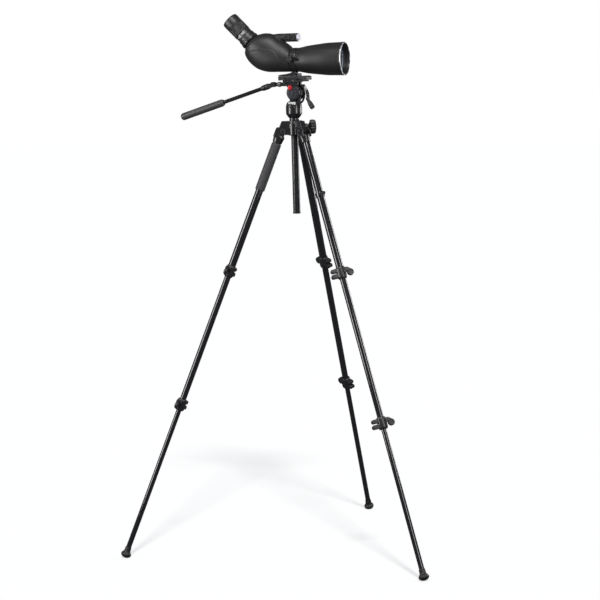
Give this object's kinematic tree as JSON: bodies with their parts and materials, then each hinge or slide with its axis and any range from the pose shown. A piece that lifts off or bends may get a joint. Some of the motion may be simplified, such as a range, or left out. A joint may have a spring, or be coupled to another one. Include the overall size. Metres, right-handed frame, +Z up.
{
  "type": "spotting scope",
  "caption": "Angled zoom spotting scope on a fluid pan-and-tilt head and a telescopic three-legged stand, with working locks, focus, zoom and leg hinges.",
  "frame": {"origin": "centre of the ground rectangle that the whole standing set covers, at floor level", "axes": "+Z up; the scope looks along +X; +Y is to its left"},
  "size_m": [1.0038, 0.894, 1.6724],
  "materials": {
    "casting": "satin black enamel on die-cast aluminium",
    "cap": "gloss graphite moulding with a plain red button",
    "steel": "satin steel",
    "moulding": "black glass-filled nylon",
    "foam": "charcoal closed-cell foam",
    "rubber": "ribbed black rubber",
    "glass": "coated optical glass",
    "armour": "matte rubber armour",
    "silver": "bright satin anodised",
    "tube": "gloss black enamel on aluminium tube"
  },
  "bodies": {
    "hub": {"hub": "casting", "left_hinge_bolt": "steel", "front_hinge_bolt": "steel", "rear_hinge_bolt": "steel"},
    "column": {"column": "tube", "column_plug": "moulding", "head_base": "casting"},
    "column_knob": {"column_knob": "moulding"},
    "left_leg": {"left_casting": "casting", "left_upper_tube": "tube", "left_upper_lock": "moulding", "leg_grip": "foam"},
    "left_middle_section": {"left_middle_tube": "tube", "left_lower_lock": "moulding"},
    "left_lower_section": {"left_lower_tube": "tube", "left_foot": "rubber"},
    "left_upper_lever": {"left_upper_lever": "moulding"},
    "left_lower_lever": {"left_lower_lever": "moulding"},
    "front_leg": {"front_casting": "casting", "front_upper_tube": "tube", "front_upper_lock": "moulding"},
    "front_middle_section": {"front_middle_tube": "tube", "front_lower_lock": "moulding"},
    "front_lower_section": {"front_lower_tube": "tube", "front_foot": "rubber"},
    "front_upper_lever": {"front_upper_lever": "moulding"},
    "front_lower_lever": {"front_lower_lever": "moulding"},
    "rear_leg": {"rear_casting": "casting", "rear_upper_tube": "tube", "rear_upper_lock": "moulding"},
    "rear_middle_section": {"rear_middle_tube": "tube", "rear_lower_lock": "moulding"},
    "rear_lower_section": {"rear_lower_tube": "tube", "rear_foot": "rubber"},
    "rear_upper_lever": {"rear_upper_lever": "moulding"},
    "rear_lower_lever": {"rear_lower_lever": "moulding"},
    "pan": {"pan_yoke": "casting"},
    "tilt": {"tilt_housing": "casting", "tilt_cap": "cap", "handle_bracket": "moulding"},
    "lock_lever": {"lock_lever": "moulding"},
    "plate": {"quick_release_plate": "casting", "plate_screw": "steel", "collar": "moulding"},
    "plate_lever": {"plate_lever": "moulding"},
    "handle": {"handle_arm": "moulding", "handle_grip": "foam"},
    "scope": {"body_shell": "armour", "prism": "glass", "barrel": "armour", "bezel": "silver", "objective_lens": "glass", "eyepiece_barrel": "moulding", "eye_lens": "glass"},
    "collar_screw": {"collar_screw": "moulding"},
    "fine_focus": {"fine_focus_knob": "rubber"},
    "coarse_focus": {"coarse_focus_ring": "rubber"},
    "focusing_cell": {"focusing_lens": "glass"},
    "zoom": {"zoom_ring": "rubber"},
    "eyecup": {"eyecup": "rubber"}
  },
  "joints": [
    {"name": "column_lift", "type": "slide", "parent": "hub", "child": "column", "axis": [0, 0, 1], "range_m": [0, 0.22]},
    {"name": "column_knob_turn", "type": "hinge", "parent": "hub", "child": "column_knob", "pos_m": [0.04787, -0.11223, 1.32063], "axis": [0.887, 0.4617, 0], "range_deg": [0, 720]},
    {"name": "left_leg_spread", "type": "hinge", "parent": "hub", "child": "left_leg", "pos_m": [-0.0246, -0.14995, 1.30863], "axis": [-0.4617, 0.887, 0], "range_deg": [-22, 0]},
    {"name": "left_middle_slide", "type": "slide", "parent": "left_leg", "child": "left_middle_section", "axis": [-0.3323, -0.173, -0.9272], "range_m": [-0.38, 0]},
    {"name": "left_lower_slide", "type": "slide", "parent": "left_middle_section", "child": "left_lower_section", "axis": [-0.3323, -0.173, -0.9272], "range_m": [-0.38, 0]},
    {"name": "left_upper_lever_flip", "type": "hinge", "parent": "left_leg", "child": "left_upper_lever", "pos_m": [-0.17435, -0.24744, 0.89514], "axis": [-0.9431, 0.0727, 0.3244], "range_deg": [0, 95]},
    {"name": "left_lower_lever_flip", "type": "hinge", "parent": "left_middle_section", "child": "left_lower_lever", "pos_m": [-0.32088, -0.32372, 0.48625], "axis": [-0.9431, 0.0727, 0.3244], "range_deg": [0, 95]},
    {"name": "front_leg_spread", "type": "hinge", "parent": "hub", "child": "front_leg", "pos_m": [0.04756, -0.1531, 1.30863], "axis": [-0.5373, -0.8434, 0], "range_deg": [-22, 0]},
    {"name": "front_middle_slide", "type": "slide", "parent": "front_leg", "child": "front_middle_section", "axis": [0.3159, -0.2013, -0.9272], "range_m": [-0.38, 0]},
    {"name": "front_lower_slide", "type": "slide", "parent": "front_middle_section", "child": "front_lower_section", "axis": [0.3159, -0.2013, -0.9272], "range_m": [-0.38, 0]},
    {"name": "front_upper_lever_flip", "type": "hinge", "parent": "front_leg", "child": "front_upper_lever", "pos_m": [0.20686, -0.23405, 0.89514], "axis": [0.4086, -0.8531, 0.3244], "range_deg": [0, 95]},
    {"name": "front_lower_lever_flip", "type": "hinge", "parent": "front_middle_section", "child": "front_lower_lever", "pos_m": [0.35598, -0.32905, 0.45751], "axis": [0.4086, -0.8531, 0.3244], "range_deg": [0, 95]},
    {"name": "rear_leg_spread", "type": "hinge", "parent": "hub", "child": "rear_leg", "pos_m": [0.01421, -0.08904, 1.30863], "axis": [0.999, -0.0436, 0], "range_deg": [-22, 0]},
    {"name": "rear_middle_slide", "type": "slide", "parent": "rear_leg", "child": "rear_middle_section", "axis": [0.0163, 0.3742, -0.9272], "range_m": [-0.38, 0]},
    {"name": "rear_lower_slide", "type": "slide", "parent": "rear_middle_section", "child": "rear_lower_section", "axis": [0.0163, 0.3742, -0.9272], "range_m": [-0.38, 0]},
    {"name": "rear_upper_lever_flip", "type": "hinge", "parent": "rear_leg", "child": "rear_upper_lever", "pos_m": [0.00466, 0.08939, 0.89514], "axis": [0.5345, 0.7804, 0.3244], "range_deg": [0, 95]},
    {"name": "rear_lower_lever_flip", "type": "hinge", "parent": "rear_middle_section", "child": "rear_lower_lever", "pos_m": [0.01202, 0.25781, 0.47791], "axis": [0.5345, 0.7804, 0.3244], "range_deg": [0, 95]},
    {"name": "pan", "type": "hinge", "parent": "column", "child": "pan", "pos_m": [0.01239, -0.1307, 1.38713], "axis": [0, 0, 1], "continuous": true},
    {"name": "tilt", "type": "hinge", "parent": "pan", "child": "tilt", "pos_m": [0.01939, -0.1307, 1.42613], "axis": [0, 1, 0], "range_deg": [-40, 25]},
    {"name": "lock_lever_turn", "type": "hinge", "parent": "pan", "child": "lock_lever", "pos_m": [0.04139, -0.1307, 1.44613], "axis": [0, 1, 0], "range_deg": [-40, 0]},
    {"name": "plate_slide", "type": "slide", "parent": "tilt", "child": "plate", "axis": [1, 0, 0], "range_m": [-0.02, 0.02]},
    {"name": "plate_lever_turn", "type": "hinge", "parent": "tilt", "child": "plate_lever", "pos_m": [0.02439, -0.1627, 1.46063], "axis": [0, 0, 1], "range_deg": [-80, 0]},
    {"name": "handle_joint", "type": "hinge", "parent": "tilt", "child": "handle", "pos_m": [-0.05261, -0.1307, 1.45263], "axis": [0, 1, 0], "range_deg": [-25, 25]},
    {"name": "scope_turn", "type": "hinge", "parent": "plate", "child": "scope", "pos_m": [0.01739, -0.1307, 1.52603], "axis": [1, 0, 0], "range_deg": [-90, 65]},
    {"name": "collar_screw_turn", "type": "hinge", "parent": "plate", "child": "collar_screw", "pos_m": [0.01739, -0.1807, 1.52903], "axis": [0, 1, 0], "range_deg": [0, 720]},
    {"name": "fine_focus_turn", "type": "hinge", "parent": "scope", "child": "fine_focus", "pos_m": [-0.01461, -0.1307, 1.59453], "axis": [1, 0, 0], "range_deg": [-1440, 1440]},
    {"name": "coarse_focus_turn", "type": "hinge", "parent": "scope", "child": "coarse_focus", "pos_m": [-0.01461, -0.1307, 1.59453], "axis": [1, 0, 0], "range_deg": [-360, 360]},
    {"name": "focusing_lens_slide", "type": "slide", "parent": "scope", "child": "focusing_cell", "axis": [1, 0, 0], "range_m": [-0.008, 0.008]},
    {"name": "zoom_turn", "type": "hinge", "parent": "scope", "child": "zoom", "pos_m": [-0.16059, -0.1307, 1.62361], "axis": [-0.7071, 0, 0.7071], "range_deg": [0, 140]},
    {"name": "eyecup_slide", "type": "slide", "parent": "scope", "child": "eyecup", "axis": [-0.7071, 0, 0.7071], "range_m": [0, 0.01]}
  ],
  "couplings": [
    {"joint": "coarse_focus_turn", "follows": "fine_focus_turn", "ratio": 0.25}
  ]
}
